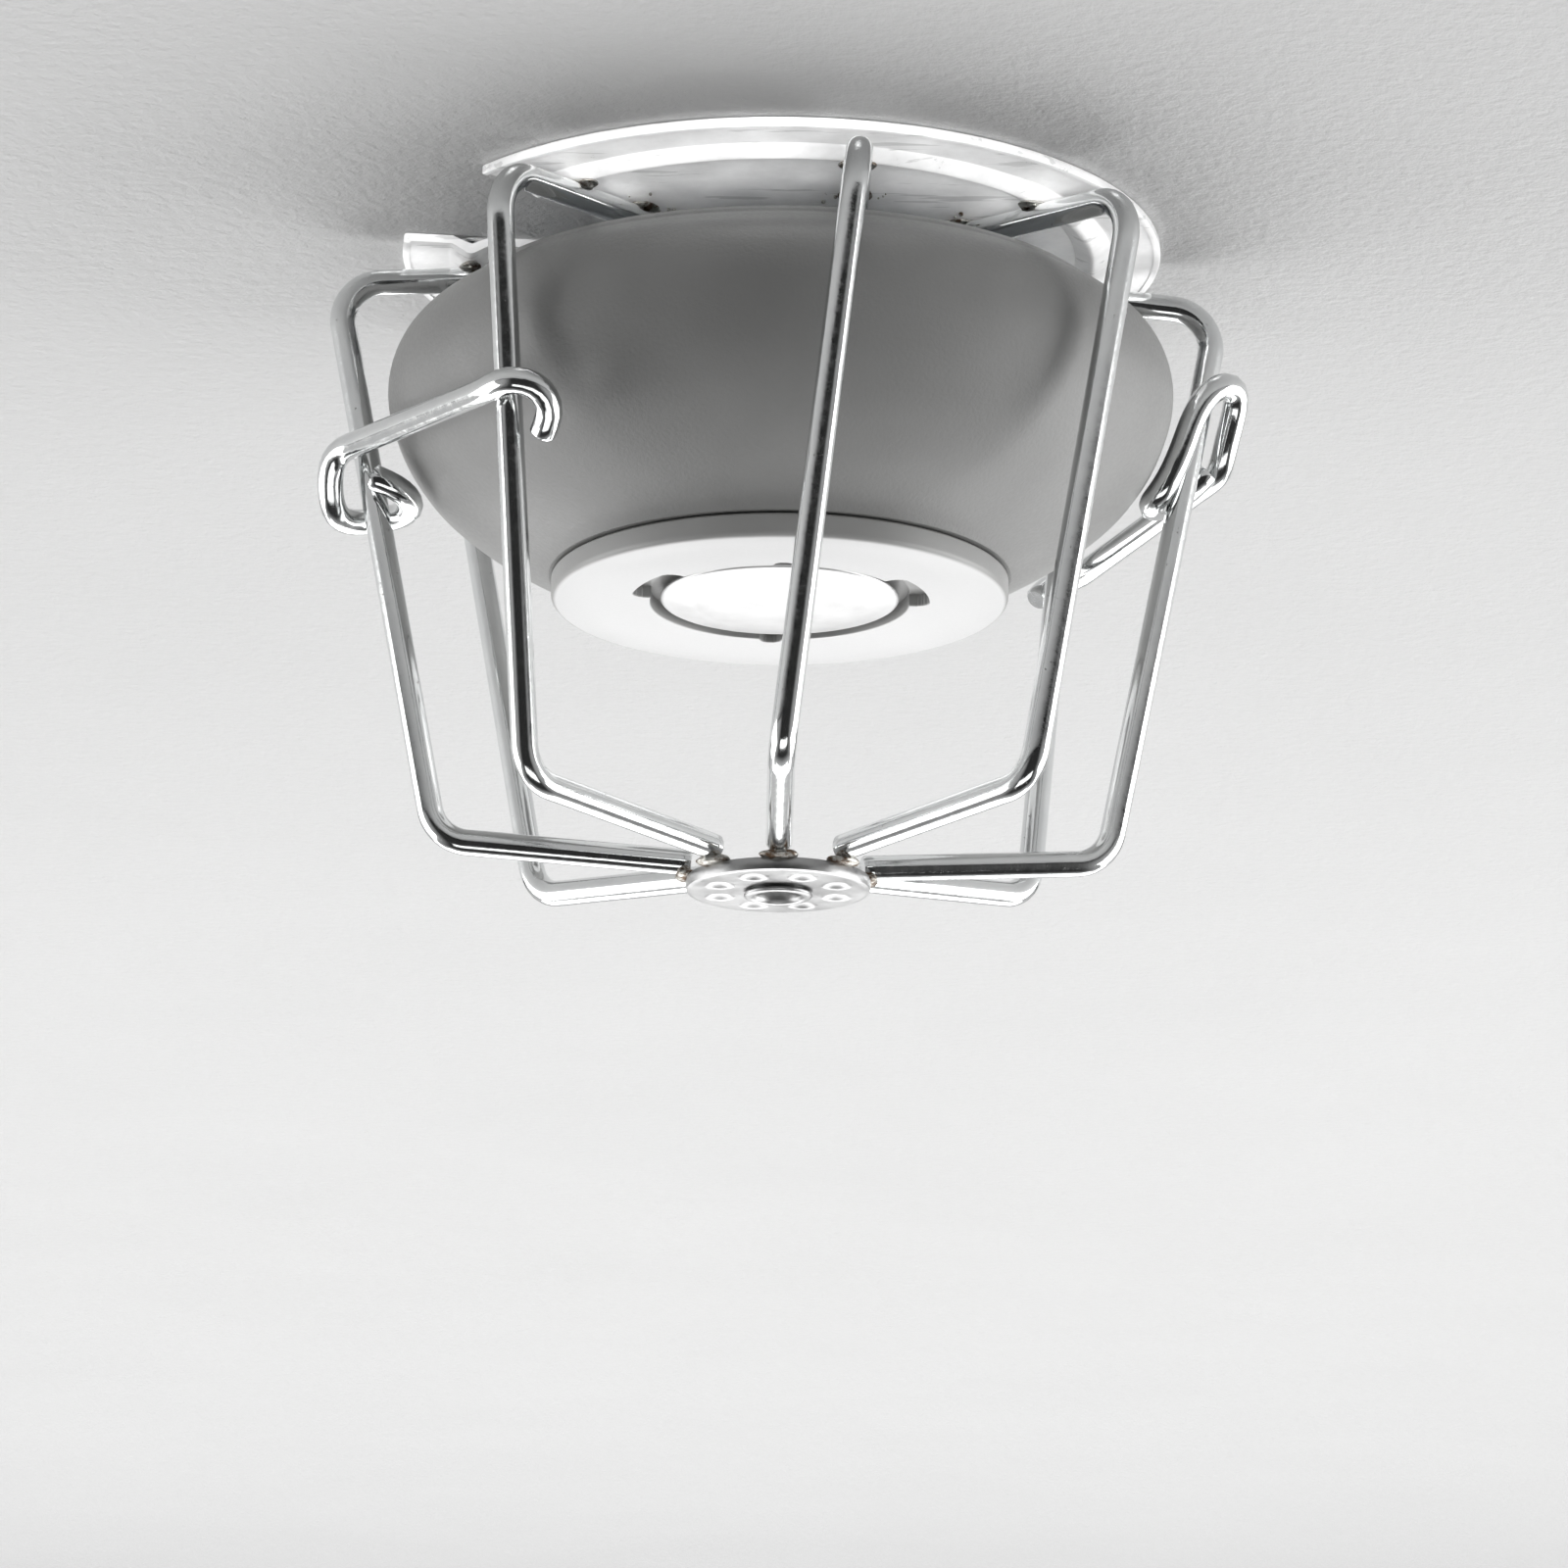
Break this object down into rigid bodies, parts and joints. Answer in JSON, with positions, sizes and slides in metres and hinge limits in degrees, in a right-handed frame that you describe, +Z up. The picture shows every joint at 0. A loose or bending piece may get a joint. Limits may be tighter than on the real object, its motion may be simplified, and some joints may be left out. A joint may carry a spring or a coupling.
{
  "type": "heat detector",
  "caption": "Round mechanical heat detector with bayonet bracket, drop-out collector disc and pressure chamber, inside a latched welded wire guard, fixed to a ceiling.",
  "frame": {"origin": "centre of the face of the mounting stem that rests on the ceiling", "axes": "+Z up into the ceiling, -Y towards the near side of the guard, +X to the right"},
  "size_m": [0.1354, 0.1218, 0.0974],
  "materials": {
    "chrome_wire": "bright plated round wire, polished with small pits",
    "plated_sheet": "satin plated pressed sheet",
    "white_housing": "fine moulded texture, matt",
    "white_face": "smooth moulded face, satin",
    "collector_metal": "pressed disc, satin",
    "brass": "turned or pressed, bright",
    "fusible_alloy": "cast low-melting alloy, dull",
    "screw_steel": "zinc plated",
    "grey_moulding": "moulded phenolic, matt",
    "contact_alloy": "rolled spring strip, bright"
  },
  "bodies": {
    "guard_and_mount": {"guard_plate_near": "plated_sheet", "guard_plate_far": "plated_sheet", "guard_wire_near_left": "chrome_wire", "guard_wire_near": "chrome_wire", "guard_wire_near_right": "chrome_wire", "guard_wire_right": "chrome_wire", "guard_wire_far_right": "chrome_wire", "guard_wire_far_left": "chrome_wire", "guard_wire_left": "chrome_wire", "hub_disc": "plated_sheet", "hub_eyelet": "plated_sheet", "mounting_stem": "grey_moulding", "mounting_bracket": "grey_moulding", "stem_screw_a": "screw_steel", "stem_screw_b": "screw_steel", "bracket_screw_a": "screw_steel", "bracket_screw_b": "screw_steel", "terminal_plate_1": "brass", "terminal_plate_2": "brass", "terminal_plate_3": "brass", "terminal_plate_4": "brass", "terminal_screw_1": "screw_steel", "terminal_screw_2": "screw_steel", "terminal_screw_3": "screw_steel", "terminal_screw_4": "screw_steel"},
    "head": {"housing_shell": "white_housing", "element_cap": "white_face", "guide_bush": "brass", "plunger_spring": "screw_steel", "chamber_cup": "brass", "vent_plug": "brass", "clamp_ring": "screw_steel", "standoff_1": "screw_steel", "standoff_2": "screw_steel", "standoff_3": "screw_steel", "contact_carrier": "grey_moulding", "carrier_screw_1": "screw_steel", "carrier_screw_2": "screw_steel", "carrier_screw_3": "screw_steel", "contact_post_moving": "grey_moulding", "contact_post_fixed": "grey_moulding", "contact_blade_fixed": "contact_alloy", "fusible_alloy_ring": "fusible_alloy"},
    "collector": {"collector_disc": "collector_metal", "collector_stem": "brass"},
    "plunger": {"plunger": "screw_steel"},
    "diaphragm": {"diaphragm": "contact_alloy", "diaphragm_button": "screw_steel", "diaphragm_nub": "screw_steel"},
    "contact_blade": {"contact_blade_moving": "contact_alloy", "contact_tip_moving": "collector_metal"},
    "latch_left": {"latch_link_left": "chrome_wire"},
    "latch_right": {"latch_link_right": "chrome_wire"}
  },
  "joints": [
    {"name": "head_twist", "type": "hinge", "parent": "guard_and_mount", "child": "head", "pos_m": [0, 0, -0.0125], "axis": [0, 0, 1], "range_deg": [0, 15]},
    {"name": "collector_drop", "type": "slide", "parent": "head", "child": "collector", "axis": [0, 0, 1], "range_m": [-0.004, 0]},
    {"name": "plunger_rise", "type": "slide", "parent": "head", "child": "plunger", "axis": [0, 0, 1], "range_m": [0, 0.0045], "deforming": ["plunger_spring"]},
    {"name": "diaphragm_rise", "type": "slide", "parent": "head", "child": "diaphragm", "axis": [0, 0, 1], "range_m": [0, 0.0008], "stiffness_N_per_m": 600},
    {"name": "blade_flex", "type": "hinge", "parent": "head", "child": "contact_blade", "pos_m": [0.0156, 0, -0.0267], "axis": [0, 1, 0], "range_deg": [0, 3]},
    {"name": "latch_left_swing", "type": "hinge", "parent": "guard_and_mount", "child": "latch_left", "pos_m": [-0.0594, -0.00222, -0.035], "axis": [0.189, 0.0404, -0.9811], "range_deg": [0, 90]},
    {"name": "latch_right_swing", "type": "hinge", "parent": "guard_and_mount", "child": "latch_right", "pos_m": [0.05864, 0.00928, -0.035], "axis": [-0.201, 0.0466, -0.9785], "range_deg": [0, 8]}
  ],
  "couplings": [
    {"joint": "blade_flex", "follows": "diaphragm_rise", "rad_per_m": 64.1}
  ]
}
